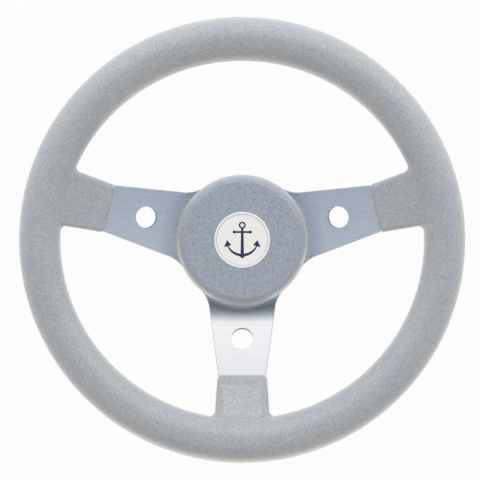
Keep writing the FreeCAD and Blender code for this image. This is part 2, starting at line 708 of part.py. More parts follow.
TAPE_BACK = PAD_FACE - EMBLEM_RECESS_DEPTH
BEZEL_BACK = TAPE_BACK + EMBLEM_TAPE_THICKNESS
BEZEL_FRONT = BEZEL_BACK + BEZEL_HEIGHT
EMBLEM_DISC_BACK = BEZEL_BACK + BEZEL_FLOOR
EMBLEM_DISC_FRONT = EMBLEM_DISC_BACK + EMBLEM_DISC_THICKNESS
BEZEL_INNER_RADIUS = EMBLEM_DIAMETER / 2 - BEZEL_RING_WIDTH


def emblem_tape():
    return disc(EMBLEM_DIAMETER / 2 - EMBLEM_TAPE_INSET, TAPE_BACK, BEZEL_BACK)


def emblem_bezel():
    outer = EMBLEM_DIAMETER / 2
    bevel = BEZEL_EDGE_CHAMFER
    return turned([
        (0, BEZEL_BACK), (outer, BEZEL_BACK), (outer, BEZEL_FRONT - bevel),
        (outer - bevel, BEZEL_FRONT), (BEZEL_INNER_RADIUS + bevel, BEZEL_FRONT),
        (BEZEL_INNER_RADIUS, BEZEL_FRONT - bevel), (BEZEL_INNER_RADIUS, EMBLEM_DISC_BACK),
        (0, EMBLEM_DISC_BACK),
    ])


def emblem_motif():
    """Plain anchor, inlaid flush in the emblem's disc."""
    back = EMBLEM_DISC_FRONT - MOTIF_DEPTH
    front = EMBLEM_DISC_FRONT

    def raised(corners):
        face = polygon_face([point(x, front, z) for x, z in corners])
        return face.extrude(AXIS * MOTIF_DEPTH)

    def round_at(radius, x, z):
        shape = disc(radius, back, front)
        shape.translate(FreeCAD.Vector(x, 0, z))
        return shape

    foot = ANCHOR_ARM_CENTRE_HEIGHT - ANCHOR_ARM_RADIUS
    shank_top = ANCHOR_EYE_HEIGHT - (ANCHOR_EYE_OUTER_RADIUS + ANCHOR_EYE_INNER_RADIUS) / 2
    shank = raised([
        (-ANCHOR_SHANK_TOP_WIDTH / 2, shank_top), (ANCHOR_SHANK_TOP_WIDTH / 2, shank_top),
        (ANCHOR_SHANK_FOOT_WIDTH / 2, foot + ANCHOR_ARM_THICKNESS / 2),
        (-ANCHOR_SHANK_FOOT_WIDTH / 2, foot + ANCHOR_ARM_THICKNESS / 2),
    ])
    half_span = ANCHOR_STOCK_SPAN / 2
    low = ANCHOR_STOCK_HEIGHT - ANCHOR_STOCK_WIDTH / 2
    high = ANCHOR_STOCK_HEIGHT + ANCHOR_STOCK_WIDTH / 2
    stock = raised([(-half_span, low), (half_span, low), (half_span, high), (-half_span, high)])
    knobs = [round_at(ANCHOR_STOCK_KNOB_RADIUS, side * half_span, ANCHOR_STOCK_HEIGHT)
             for side in (-1, 1)]
    eye = round_at(ANCHOR_EYE_OUTER_RADIUS, 0, ANCHOR_EYE_HEIGHT)
    eye = eye.cut(round_at(ANCHOR_EYE_INNER_RADIUS, 0, ANCHOR_EYE_HEIGHT))
    crescent = round_at(ANCHOR_ARM_RADIUS, 0, ANCHOR_ARM_CENTRE_HEIGHT)
    crescent = crescent.cut(round_at(ANCHOR_ARM_RADIUS, 0,
                                     ANCHOR_ARM_CENTRE_HEIGHT + ANCHOR_ARM_THICKNESS))
    reach = 2 * ANCHOR_ARM_RADIUS
    crescent = crescent.common(raised([(-reach, -reach), (reach, -reach),
                                       (reach, ANCHOR_ARM_TOP), (-reach, ANCHOR_ARM_TOP)]))
    drop = ANCHOR_ARM_CENTRE_HEIGHT - ANCHOR_ARM_TOP
    tip_x = math.sqrt(ANCHOR_ARM_RADIUS ** 2 - drop ** 2)
    half_fluke = ANCHOR_FLUKE_WIDTH / 2
    flukes = []
    for side in (-1, 1):
        flukes.append(raised([
            (side * tip_x, ANCHOR_ARM_TOP + 0.7 * ANCHOR_FLUKE_LENGTH),
            (side * (tip_x + 0.8 * half_fluke), ANCHOR_ARM_TOP - 0.3 * ANCHOR_FLUKE_LENGTH),
            (side * (tip_x - 1.2 * half_fluke), ANCHOR_ARM_TOP),
        ]))
    crown = raised([(-ANCHOR_SHANK_FOOT_WIDTH, foot + 0.5), (0, foot - ANCHOR_CROWN_DROP),
                    (ANCHOR_SHANK_FOOT_WIDTH, foot + 0.5)])
    return one_solid(fused([shank, stock, eye, crescent, crown] + knobs + flukes))


def emblem_disc():
    radius = BEZEL_INNER_RADIUS - EMBLEM_DISC_CLEARANCE
    return one_solid(disc(radius, EMBLEM_DISC_BACK, EMBLEM_DISC_FRONT).cut(emblem_motif()))


def build_nodes():
    """All sub-parts by node name. A list is a group of identical separate solids."""
    nodes = {"spoke_plate": spoke_plate(), "rim_core": rim_core()}
    for name, angle in SPOKE_ANGLES.items():
        nodes["core_tab_" + name] = around_axis(core_tab(), angle)
        nodes["spoke_rivets_" + name] = [around_axis(item, angle) for item in spoke_rivets()]
    inner_pieces = []
    for shape in nodes.values():
        inner_pieces += shape if isinstance(shape, list) else [shape]
    nodes["rim_grip"] = rim_grip(inner_pieces)
    nodes["hub_body"] = hub_body()
    nodes["taper_bush"] = taper_bush()
    nodes["hub_inserts"] = hub_inserts()
    nodes["hub_screws"] = hub_screws()
    nodes["pad_carrier"] = pad_carrier()
    nodes["pad_ring"] = pad_ring()
    nodes["pad_cover"] = pad_cover()
    nodes["emblem_tape"] = emblem_tape()
    nodes["emblem_bezel"] = emblem_bezel()
    nodes["emblem_disc"] = emblem_disc()
    nodes["emblem_motif"] = emblem_motif()
    return nodes


def main():
    os.makedirs("parts", exist_ok=True)
    for name, shape in build_nodes().items():
        solid = Part.makeCompound(shape) if isinstance(shape, list) else shape
        if not solid.isValid():
            raise ValueError(name + " is not a valid solid")
        solid.exportStep("parts/" + name + ".step")
        box = solid.BoundBox
        print("%-22s solids %2d  volume %10.1f  x %7.1f %7.1f  y %7.1f %7.1f  z %7.1f %7.1f" % (
            name, len(solid.Solids), solid.Volume, box.XMin, box.XMax,
            box.YMin, box.YMax, box.ZMin, box.ZMax))


main()
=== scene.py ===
"""Looks of a three-spoke boat steering wheel with a soft moulded grip and a pull-off hub pad.

Lengths are metres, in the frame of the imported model: the wheel's axis runs along Y, the
helmsman is on the -Y side, +Z is up and +X is to the right. A depth d lies at y = -d.
The grip, the pad's cover, the emblem's bezel and the spoke plate get meshes of their own.
Every other sub-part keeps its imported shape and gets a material.
"""
import math

import bmesh
import bpy
import numpy as np
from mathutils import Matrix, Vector


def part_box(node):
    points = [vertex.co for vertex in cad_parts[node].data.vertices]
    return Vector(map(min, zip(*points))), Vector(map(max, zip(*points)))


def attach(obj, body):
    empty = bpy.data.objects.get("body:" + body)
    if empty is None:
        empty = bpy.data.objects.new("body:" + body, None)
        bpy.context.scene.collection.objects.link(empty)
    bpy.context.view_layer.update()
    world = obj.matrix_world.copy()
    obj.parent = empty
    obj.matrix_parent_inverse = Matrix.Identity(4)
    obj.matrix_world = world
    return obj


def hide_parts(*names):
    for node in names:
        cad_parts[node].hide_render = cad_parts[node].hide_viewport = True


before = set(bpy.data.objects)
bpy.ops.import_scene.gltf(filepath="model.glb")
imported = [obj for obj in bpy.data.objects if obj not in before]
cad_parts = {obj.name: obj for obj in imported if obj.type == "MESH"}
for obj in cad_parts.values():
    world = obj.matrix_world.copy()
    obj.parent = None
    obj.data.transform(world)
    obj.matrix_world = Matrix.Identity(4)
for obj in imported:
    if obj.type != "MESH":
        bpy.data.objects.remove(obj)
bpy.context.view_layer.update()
MM = 0.001
TINY = 1e-12

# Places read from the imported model
CORE_LOW, CORE_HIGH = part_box("rim_core")
ROD_RADIUS = (CORE_HIGH.y - CORE_LOW.y) / 2
HOOP_RADIUS = CORE_HIGH.x - ROD_RADIUS
HOOP_DEPTH = -(CORE_HIGH.y + CORE_LOW.y) / 2
OUTER_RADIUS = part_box("rim_grip")[1].x
GRIP_RADIUS = OUTER_RADIUS - HOOP_RADIUS

# Spokes: their slope towards the helmsman and the direction of each, counted from +X
SPOKE_TILT = math.radians(17)
SPOKE_ANGLES = {
    "right": math.radians(13.3),
    "left": math.radians(166.7),
    "bottom": math.radians(270),
}


# Grip

# The moulded ring is thinner at the sides than at the top and the bottom
GRIP_INNER_RADIUS_MEAN = 137.45 * MM
GRIP_INNER_RADIUS_SWING = 1.05 * MM

# Sleeves over the spokes, in the frame of the spokes' slope
SLEEVE_START = 104.5 * MM
SLEEVE_START_DEPTH = 55.66 * MM
SLEEVE_FRONT = 7.0 * MM
SLEEVE_BACK = 10.0 * MM
SLEEVE_BURIED = 47.0 * MM
SLEEVE_EDGE_RADIUS = 3.5 * MM
SLEEVE_SIDE_FILLET = 4.5 * MM
SLEEVE_FRONT_FILLET = 1.6 * MM
SLEEVE_FILLET_CHANGE = 4.0 * MM

# Place along the sleeve, half width and depth of each groove
SLEEVE_GROOVES = (
    (2.0 * MM, 0.55 * MM, 0.45 * MM),
    (7.6 * MM, 0.9 * MM, 0.12 * MM),
)

# Half width at the sleeve's start, and flare, of its two sides
WIDE_SIDE = (18.4 * MM, math.radians(6.5))
PLAIN_SIDE = (19.0 * MM, math.radians(3.4))
BOTTOM_SIDE = (19.0 * MM, math.radians(3.6))
SLEEVE_SIDES = {
    "right": (WIDE_SIDE, PLAIN_SIDE),
    "left": (PLAIN_SIDE, WIDE_SIDE),
    "bottom": (BOTTOM_SIDE, BOTTOM_SIDE),
}

# Grid on which the grip's skin is found: starts and steps
FINE_ANGLE = math.radians(0.28)
COARSE_ANGLE = math.radians(0.6)
FINE_REACH = math.radians(12.5)
GRID_RADII = ((103.0 * MM, 0.5 * MM), (110.0 * MM, 0.8 * MM), (136.0 * MM, 1.4 * MM))
GRID_DEPTHS = ((44.5 * MM, 1.4 * MM),)
GRID_MARGIN = 1.5 * MM

# How the skin is drawn onto the form: step for its slope, least square of a slope, and the
# share of the way that a point goes towards the middle of its neighbours
SLOPE_STEP = 0.02 * MM
LEAST_SLOPE = 1e-6
SPREAD_SHARE = 0.5


def sleeve_distance(points, name):
    """Distance to one sleeve, a block with rounded edges in the slope's frame, and its fillet."""
    angle = SPOKE_ANGLES[name]
    x, y, z = points[..., 0], points[..., 1], points[..., 2]
    outwards = x * math.cos(angle) + z * math.sin(angle) - SLEEVE_START
    across = z * math.cos(angle) - x * math.sin(angle)
    forwards = -y - SLEEVE_START_DEPTH
    along = outwards * math.cos(SPOKE_TILT) + forwards * math.sin(SPOKE_TILT)
    back = outwards * math.sin(SPOKE_TILT) - forwards * math.cos(SPOKE_TILT)
    (high, high_flare), (low, low_flare) = SLEEVE_SIDES[name]
    high_side = (across - high - along * math.tan(high_flare)) * math.cos(high_flare)
    low_side = (-across - low - along * math.tan(low_flare)) * math.cos(low_flare)
    faces = np.stack([
        np.maximum(-SLEEVE_FRONT - back, back - SLEEVE_BACK),
        np.maximum(high_side, low_side),
        np.maximum(-along, along - SLEEVE_BURIED),
    ]) + SLEEVE_EDGE_RADIUS
    outside = np.sqrt((np.maximum(faces, 0) ** 2).sum(0))
    distance = outside + np.minimum(faces.max(0), 0) - SLEEVE_EDGE_RADIUS
    for place, half_width, depth in SLEEVE_GROOVES:
        distance = distance + depth * np.exp(-((along - place) / half_width) ** 2)
    side_share = np.clip((back + SLEEVE_FRONT) / SLEEVE_FILLET_CHANGE, 0, 1)
    fillet = SLEEVE_FRONT_FILLET + (SLEEVE_SIDE_FILLET - SLEEVE_FRONT_FILLET) * side_share
    return distance, fillet


def hoop_distance(points):
    """Distance to the moulded ring, whose inner radius swings a little around the wheel."""
    x, y, z = points[..., 0], points[..., 1], points[..., 2]
    radius = np.sqrt(x * x + z * z)
    swing = (x * x - z * z) / np.maximum(radius * radius, TINY)
    inner = GRIP_INNER_RADIUS_MEAN + GRIP_INNER_RADIUS_SWING * swing
    half_width = (OUTER_RADIUS - inner) / 2
    centre = (OUTER_RADIUS + inner) / 2
    section = np.sqrt(((radius - centre) / half_width) ** 2 + ((-y - HOOP_DEPTH) / GRIP_RADIUS) ** 2)
    return (section - 1) * half_width


def filleted(first, second, fillet):
    """Union of two distances with a round fillet where they meet."""
    a = np.maximum(fillet - first, 0)
    b = np.maximum(fillet - second, 0)
    return np.maximum(fillet, np.minimum(first, second)) - np.sqrt(a * a + b * b)


def grip_distance(points):
    """Distance to the whole grip, the ring with its three sleeves."""
    distance = hoop_distance(points)
    for name in SPOKE_ANGLES:
        distance = filleted(distance, *sleeve_distance(points, name))
    return distance


def spaced(stops, end):
    """Rising values: from each stop's start, by about its step, to the next start and to end."""
    limits = [start for start, _ in stops[1:]] + [end]
    values = []
    for (start, step), limit in zip(stops, limits):
        count = max(1, round((limit - start) / step))
        values += [start + (limit - start) * index / count for index in range(count)]
    return np.array(values + [end])


def grip_grid():
    """Angles, radii and depths of a grid around the wheel that is finer at the sleeves."""
    stops = []
    for name in ("right", "left", "bottom"):
        stops.append((SPOKE_ANGLES[name] - FINE_REACH, FINE_ANGLE))
        stops.append((SPOKE_ANGLES[name] + FINE_REACH, COARSE_ANGLE))
    angles = spaced(stops, stops[0][0] + 2 * math.pi)[:-1]
    radii = spaced(GRID_RADII, OUTER_RADIUS + GRID_MARGIN)
    depths = spaced(GRID_DEPTHS, HOOP_DEPTH + GRIP_RADIUS + GRID_MARGIN)
    return angles, radii, depths


def skin_of(distance, angles, radii, depths):
    """Points and quads around the zero of a distance, one point in each cell that it crosses."""
    a, r, d = np.meshgrid(angles, radii, depths, indexing="ij")
    grid = np.stack([r * np.cos(a), -d, r * np.sin(a)], -1)
    inside = distance(grid) < 0
    grid_around = np.concatenate([grid, grid[:1]])
    inside_around = np.concatenate([inside, inside[:1]])
    corners = [(i, j, k) for i in (0, 1) for j in (0, 1) for k in (0, 1)]
    shape = (len(angles), len(radii) - 1, len(depths) - 1)

    def at_corner(values, corner):
        i, j, k = corner
        return values[i:i + shape[0], j:j + shape[1], k:k + shape[2]]

    count = sum(at_corner(inside_around, corner).astype(int) for corner in corners)
    crossed = (count > 0) & (count < len(corners))
    number = np.full(shape, -1)
    number[crossed] = np.arange(crossed.sum())
    points = sum(at_corner(grid_around, corner)[crossed] for corner in corners) / len(corners)
    quads = []
    for axis in range(3):
        others = [(axis + 1) % 3, (axis + 2) % 3]
        change = inside != np.roll(inside, -1, axis)
        if axis != 0:
            change = np.delete(change, change.shape[axis] - 1, axis)
        places = np.argwhere(change)
        for other in others:
            if other != 0:
                places = places[(places[:, other] > 0) & (places[:, other] < shape[other])]
        cells = []
        for first, second in ((0, 0), (1, 0), (1, 1), (0, 1)):
            cell = places.copy()
            cell[:, others[0]] -= first
            cell[:, others[1]] -= second
            cell[:, 0] %= shape[0]
            cells.append(number[tuple(cell.T)])
        faces = np.stack(cells, 1)
        turned = ~inside[tuple(places.T)]
        faces[turned] = faces[turned][:, ::-1]
        quads.append(faces)
    return points, np.concatenate(quads)


def gradient(distance, points):
    """Slope of a distance along x, y and z at each point."""
    parts = []
    for axis in range(3):
        shift = np.zeros(3)
        shift[axis] = SLOPE_STEP
        parts.append((distance(points + shift) - distance(points - shift)) / (2 * SLOPE_STEP))
    return np.stack(parts, -1)


def drawn_to(distance, points, rounds):
    """Points moved onto the zero of a distance."""
    for _ in range(rounds):
        slope = gradient(distance, points)
        size = np.maximum((slope ** 2).sum(-1), LEAST_SLOPE)
        points = points - slope * (distance(points) / size)[:, None]
    return points


def evened(distance, points, quads, rounds):
    """Points spread evenly along the surface that they lie on."""
    starts = quads.ravel()
    ends = np.roll(quads, -1, 1).ravel()
    degree = np.bincount(starts, minlength=len(points)) + np.bincount(ends, minlength=len(points))
    for _ in range(rounds):
        total = np.zeros_like(points)
        for axis in range(3):
            total[:, axis] += np.bincount(starts, points[ends, axis], len(points))
            total[:, axis] += np.bincount(ends, points[starts, axis], len(points))
        move = total / degree[:, None] - points
        normal = gradient(distance, points)
        normal /= np.sqrt((normal ** 2).sum(-1))[:, None]
        move -= normal * (move * normal).sum(-1)[:, None]
        points = drawn_to(distance, points + SPREAD_SHARE * move, rounds=1)
    return points


def new_object(name, data):
    """Object of a mesh, a lamp or a camera, in the scene."""
    thing = bpy.data.objects.new(name, data)
    bpy.context.scene.collection.objects.link(thing)
    return thing


def add_piece(name, mesh, material, body, node):
    """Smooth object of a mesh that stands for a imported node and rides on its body."""
    mesh.shade_smooth()
    mesh.materials.clear()
    mesh.materials.append(material)
    piece = new_object(name, mesh)
    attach(piece, body)
    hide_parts(node)
    return piece


def new_mesh(name, vertices, faces):
    """Mesh of points and of faces that are given as indices of points."""
    mesh = bpy.data.meshes.new(name)
    mesh.from_pydata([tuple(vertex) for vertex in vertices], [], [tuple(face) for face in faces])
    mesh.validate()
    return mesh


def make_grip(material):
    """One smooth skin over the ring and its three sleeves."""
    points, quads = skin_of(grip_distance, *grip_grid())
    points = drawn_to(grip_distance, points, rounds=4)
    points = evened(grip_distance, points, quads, rounds=6)
    points = drawn_to(grip_distance, points, rounds=2)
    mesh = new_mesh("grip_skin", points.tolist(), quads.tolist())
    grip = add_piece("grip_skin", mesh, material, "wheel", "rim_grip")


# Turned pieces

def arc(centre, radii, start_deg, end_deg, count):
    """Points of a circular arc, or an elliptic one if radii is a pair, in (radius, depth)."""
    wide, high = radii if isinstance(radii, tuple) else (radii, radii)
    turns = [math.radians(start_deg + (end_deg - start_deg) * i / count) for i in range(count + 1)]
    return [(centre[0] + wide * math.cos(turn), centre[1] + high * math.sin(turn)) for turn in turns]


def line(start, end, count):
    """Points from start up to, but without, end."""
    return [(start[0] + (end[0] - start[0]) * i / count, start[1] + (end[1] - start[1]) * i / count)
            for i in range(count)]


def lathe(profile, segments):
    """Surface turned from (radius, depth) points: a closed loop, or a line from axis to axis."""
    solid = profile[0][0] == 0
    ring = profile[1:-1] if solid else profile
    vertices = []
    for index in range(segments):
        angle = 2 * math.pi * index / segments
        vertices += [(r * math.cos(angle), -d, r * math.sin(angle)) for r, d in ring]
    size = len(ring)
    faces = []
    for index in range(segments):
        here = index * size
        there = (index + 1) % segments * size
        for k in range(size - 1 if solid else size):
            after = (k + 1) % size
            faces.append((here + k, here + after, there + after, there + k))
        if solid:
            first = segments * size
            faces.append((first, here, there))
            faces.append((first + 1, there + size - 1, here + size - 1))
    if solid:
        vertices += [(0, -profile[0][1], 0), (0, -profile[-1][1], 0)]
    return vertices, faces


# Pad cover

PAD_LOW, PAD_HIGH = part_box("pad_cover")
CARRIER_LOW, CARRIER_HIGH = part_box("pad_carrier")
BEZEL_LOW, BEZEL_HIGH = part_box("emblem_bezel")
PAD_RADIUS = PAD_HIGH.x
PAD_FACE = -PAD_LOW.y
PAD_EDGE_WIDTH = 6.8 * MM
PAD_EDGE_HEIGHT = 13.0 * MM
PAD_BACK_RADIUS = 0.8 * MM
PAD_SEGMENTS = 288

# The cover stands a little off the plate behind it
PAD_LIFT = 0.3 * MM
PAD_SEAT = -PAD_HIGH.y + PAD_LIFT

# Room between the end of a rounding and the next point of the outline
PAD_LINE_GAP = 1.0 * MM
PAD_BACK_LINE_GAP = 0.5 * MM

# Shell under the cover, and the emblem's recess
CARRIER_RADIUS = CARRIER_HIGH.x
CARRIER_FACE = -CARRIER_LOW.y
CARRIER_CHAMFER = 1.5 * MM
RECESS_RADIUS = BEZEL_HIGH.x + 0.1 * MM
RECESS_FLOOR = -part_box("emblem_tape")[1].y
RECESS_LIP = 0.25 * MM
RECESS_LEDGE = 1.0 * MM


def make_pad_cover(material):
    """Turned cover with a tall rounding at its front edge and the emblem's recess."""
    wide, high = PAD_EDGE_WIDTH, PAD_EDGE_HEIGHT
    back = PAD_BACK_RADIUS
    lip = RECESS_LIP
    ledge = RECESS_RADIUS - RECESS_LEDGE
    chamfer_radius = CARRIER_RADIUS - CARRIER_CHAMFER
    chamfer_depth = CARRIER_FACE - CARRIER_CHAMFER
    profile = line((ledge, RECESS_FLOOR), (RECESS_RADIUS, RECESS_FLOOR), 2)
    profile += line((RECESS_RADIUS, RECESS_FLOOR), (RECESS_RADIUS, PAD_FACE - lip), 4)
    profile += arc((RECESS_RADIUS + lip, PAD_FACE - lip), lip, 180, 90, 4)
    profile += line((RECESS_RADIUS + 2 * lip, PAD_FACE), (PAD_RADIUS - wide, PAD_FACE), 12)
    profile += arc((PAD_RADIUS - wide, PAD_FACE - high), (wide, high), 90, 0, 18)
    profile += line((PAD_RADIUS, PAD_FACE - high - PAD_LINE_GAP), (PAD_RADIUS, PAD_SEAT + back), 8)
    profile += arc((PAD_RADIUS - back, PAD_SEAT + back), back, 0, -90, 5)
    profile += line((PAD_RADIUS - back - PAD_BACK_LINE_GAP, PAD_SEAT), (CARRIER_RADIUS, PAD_SEAT), 2)
    profile += line((CARRIER_RADIUS, PAD_SEAT), (CARRIER_RADIUS, chamfer_depth), 4)
    profile += line((CARRIER_RADIUS, chamfer_depth), (chamfer_radius, CARRIER_FACE), 2)
    profile += line((chamfer_radius, CARRIER_FACE), (ledge, CARRIER_FACE), 4)
    profile += line((ledge, CARRIER_FACE), (ledge, RECESS_FLOOR), 2)
    mesh = new_mesh("pad_skin", *lathe(profile, PAD_SEGMENTS))
    cover = add_piece("pad_skin", mesh, material, "pad", "pad_cover")


# Emblem bezel

BEZEL_RADIUS = BEZEL_HIGH.x
BEZEL_FRONT = -BEZEL_LOW.y
BEZEL_BACK = -BEZEL_HIGH.y
BEZEL_FLOOR = -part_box("emblem_disc")[1].y
BEZEL_INNER_RADIUS = BEZEL_RADIUS - 1.85 * MM
BEZEL_CROWN_RADIUS = 0.55 * MM
BEZEL_LINE_GAP = 0.1 * MM
BEZEL_SEGMENTS = 256


def make_bezel(material):
    """Shallow cup whose lip is rounded towards the pad and towards the disc."""
    inner = BEZEL_INNER_RADIUS
    crown = BEZEL_CROWN_RADIUS
    shoulder = BEZEL_FRONT - crown
    profile = line((0, BEZEL_BACK), (BEZEL_RADIUS, BEZEL_BACK), 3)
    profile += line((BEZEL_RADIUS, BEZEL_BACK), (BEZEL_RADIUS, shoulder), 3)
    profile += arc((BEZEL_RADIUS - crown, shoulder), crown, 0, 90, 7)
    profile += arc((inner + crown, shoulder), crown, 90, 180, 7)
    profile += line((inner, shoulder - BEZEL_LINE_GAP), (inner, BEZEL_FLOOR), 3)
    profile += line((inner, BEZEL_FLOOR), (0, BEZEL_FLOOR), 3)
    profile += [(0, BEZEL_FLOOR)]
    mesh = new_mesh("bezel_ring", *lathe(profile, BEZEL_SEGMENTS))
    add_piece("bezel_ring", mesh, material, "pad", "emblem_bezel")


# Spoke plate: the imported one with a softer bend, which its reflections show

# Half of its thickness, the depth of its middle, and its packed bend
PLATE_HALF = 2.0 * MM
PLATE_MIDDLE = -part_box("spoke_plate")[1].y + PLATE_HALF
BEND_START = 50.0 * MM
BEND_RADIUS = 22.0 * MM
BEND_END = BEND_START + BEND_RADIUS * math.sin(SPOKE_TILT)
BEND_END_DEPTH = PLATE_MIDDLE + BEND_RADIUS * (1 - math.cos(SPOKE_TILT))
BEND_CORNER = BEND_START + BEND_RADIUS * math.tan(SPOKE_TILT / 2)

# Softer bend about the same corner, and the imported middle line's length that goes into it
SOFT_BEND_RADIUS = 75.0 * MM
SOFT_BEND_TANGENT = SOFT_BEND_RADIUS * math.tan(SPOKE_TILT / 2)
SOFT_BEND_START = BEND_CORNER - SOFT_BEND_TANGENT
SOFT_BEND_END = BEND_CORNER + SOFT_BEND_TANGENT * math.cos(SPOKE_TILT)
FLAT_LENGTH = BEND_START - SOFT_BEND_START
BEND_LENGTH = BEND_RADIUS * SPOKE_TILT
REBENT_LENGTH = FLAT_LENGTH + BEND_LENGTH + (SOFT_BEND_END - BEND_END) / math.cos(SPOKE_TILT)
STRIPS = 24

# Points this close are one, cuts go through points this close, and edges this short go away
SAME_PLACE = 0.001 * MM
CUT_SNAP = 0.005 * MM
SLIVER = 0.01 * MM

# How much a face must look like the plate's front or back to get the exact normals
FACE_LIKENESS = 0.985


def unrolled(outwards, depth):
    """Length along the plate's packed middle line from the soft bend's start, and height over it."""
    turn = math.atan2(outwards - BEND_START, PLATE_MIDDLE + BEND_RADIUS - depth)
    if turn <= 0:
        return outwards - SOFT_BEND_START, depth - PLATE_MIDDLE
    if turn < SPOKE_TILT:
        reach = math.hypot(outwards - BEND_START, PLATE_MIDDLE + BEND_RADIUS - depth)
        return FLAT_LENGTH + BEND_RADIUS * turn, BEND_RADIUS - reach
    past, rise = outwards - BEND_END, depth - BEND_END_DEPTH
    along = past * math.cos(SPOKE_TILT) + rise * math.sin(SPOKE_TILT)
    height = rise * math.cos(SPOKE_TILT) - past * math.sin(SPOKE_TILT)
    return FLAT_LENGTH + BEND_LENGTH + along, height


def cut_into_strips(form):
    """Cut the arms across, so that the soft bend gets even strips."""
    for angle in SPOKE_ANGLES.values():
        outwards = Vector((math.cos(angle), 0, math.sin(angle)))
        for strip in range(STRIPS + 1):
            cut = SOFT_BEND_START + (SOFT_BEND_END - SOFT_BEND_START) * strip / STRIPS
            bmesh.ops.bisect_plane(form, geom=form.verts[:] + form.edges[:] + form.faces[:],
                                   plane_co=outwards * cut, plane_no=outwards, dist=CUT_SNAP)
    bmesh.ops.dissolve_degenerate(form, dist=SLIVER, edges=form.edges[:])


def bend_softly(form):
    """Move the vertices of the arms onto the soft bend. Gives the arm and the slope at each."""
    slopes = {}
    for vertex in form.verts:
        for angle in SPOKE_ANGLES.values():
            outwards = vertex.co.x * math.cos(angle) + vertex.co.z * math.sin(angle)
            if outwards < SOFT_BEND_START:
                continue
            along, height = unrolled(outwards, -vertex.co.y)
            turn = min(along / REBENT_LENGTH, 1.0) * SPOKE_TILT
            slopes[vertex] = (angle, turn)
            if along < REBENT_LENGTH:
                reach = SOFT_BEND_RADIUS - height
                shift = SOFT_BEND_START + reach * math.sin(turn) - outwards
                vertex.co.x += shift * math.cos(angle)
                vertex.co.z += shift * math.sin(angle)
                vertex.co.y = -(PLATE_MIDDLE + SOFT_BEND_RADIUS - reach * math.cos(turn))
    return slopes


def make_plate(material):
    """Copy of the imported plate, bent softly, with exact normals on its two faces."""
    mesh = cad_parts["spoke_plate"].data.copy()
    mesh.name = "plate_skin"
    form = bmesh.new()
    form.from_mesh(mesh)
    bmesh.ops.remove_doubles(form, verts=form.verts, dist=SAME_PLACE)
    cut_into_strips(form)
    slopes = bend_softly(form)
    bmesh.ops.recalc_face_normals(form, faces=form.faces)
    forwards = []
    for face in form.faces:
        for loop in face.loops:
            angle, turn = slopes.get(loop.vert, (0.0, 0.0))
            forwards.append(Vector((-math.sin(turn) * math.cos(angle), -math.cos(turn),
                                    -math.sin(turn) * math.sin(angle))))
    form.to_mesh(mesh)
    form.free()
    add_piece("plate_skin", mesh, material, "wheel", "spoke_plate")
    normals = [Vector(corner.vector) for corner in mesh.corner_normals]
    for polygon in mesh.polygons:
        for index in polygon.loop_indices:
            likeness = polygon.normal.dot(forwards[index])
            if abs(likeness) > FACE_LIKENESS:
                normals[index] = forwards[index] * (1 if likeness > 0 else -1)
    mesh.normals_split_custom_set([tuple(normal) for normal in normals])


# Materials

class Nodes:
    """Small helper that makes and joins the nodes of one material or world."""

    def __init__(self, owner):
        owner.use_nodes = True
        self.owner = owner
        self.tree = owner.node_tree
        self.tree.nodes.clear()

    def new(self, kind):
        return self.tree.nodes.new("ShaderNode" + kind)

    def finish(self, shader, output="OutputMaterial"):
        """Make a shader the surface of the owner."""
        self.put(shader, self.new(output).inputs["Surface"])

    def put(self, value, socket):
        """Give a socket a number, a colour or another node's output."""
        if isinstance(value, bpy.types.NodeSocket):
            self.tree.links.new(value, socket)
        elif isinstance(value, tuple):
            socket.default_value = (*value, 1.0)
        else:
            socket.default_value = value

    def put_all(self, node, **values):
        """Give the sockets of a node their values. from_min stands for the socket From Min."""
        for name, value in values.items():
            self.put(value, node.inputs[name.replace("_", " ").title().replace("Ior", "IOR")])

    def split(self, vector):
        """The x, y and z of a vector."""
        node = self.new("SeparateXYZ")
        self.put(vector, node.inputs[0])
        return node.outputs

    def math(self, operation, first, second=0.0):
        node = self.new("Math")
        node.operation = operation
        self.put(first, node.inputs[0])
        self.put(second, node.inputs[1])
        return node.outputs[0]

    def ranged(self, value, start, end, low=0.0, high=1.0, smooth=False):
        """Value from low to high, as another goes from start to end."""
        node = self.new("MapRange")
        node.interpolation_type = "SMOOTHSTEP" if smooth else "LINEAR"
        self.put_all(node, value=value, from_min=start, from_max=end, to_min=low, to_max=high)
        return node.outputs["Result"]

    def mixed(self, factor, first, second, blend="MIX"):
        """Mix of two colours."""
        node = self.new("Mix")
        node.data_type = "RGBA"
        node.blend_type = blend
        self.put_all(node, factor=factor, a=first, b=second)
        return node.outputs["Result"]

    def mixed_shaders(self, factor, first, second):
        node = self.new("MixShader")
        for value, socket in zip((factor, first, second), node.inputs):
            self.put(value, socket)
        return node.outputs[0]

    def coloured(self, kind, colour):
        """Output of a shader that has a colour."""
        node = self.new(kind)
        self.put(colour, node.inputs["Color"])
        return node.outputs[0]


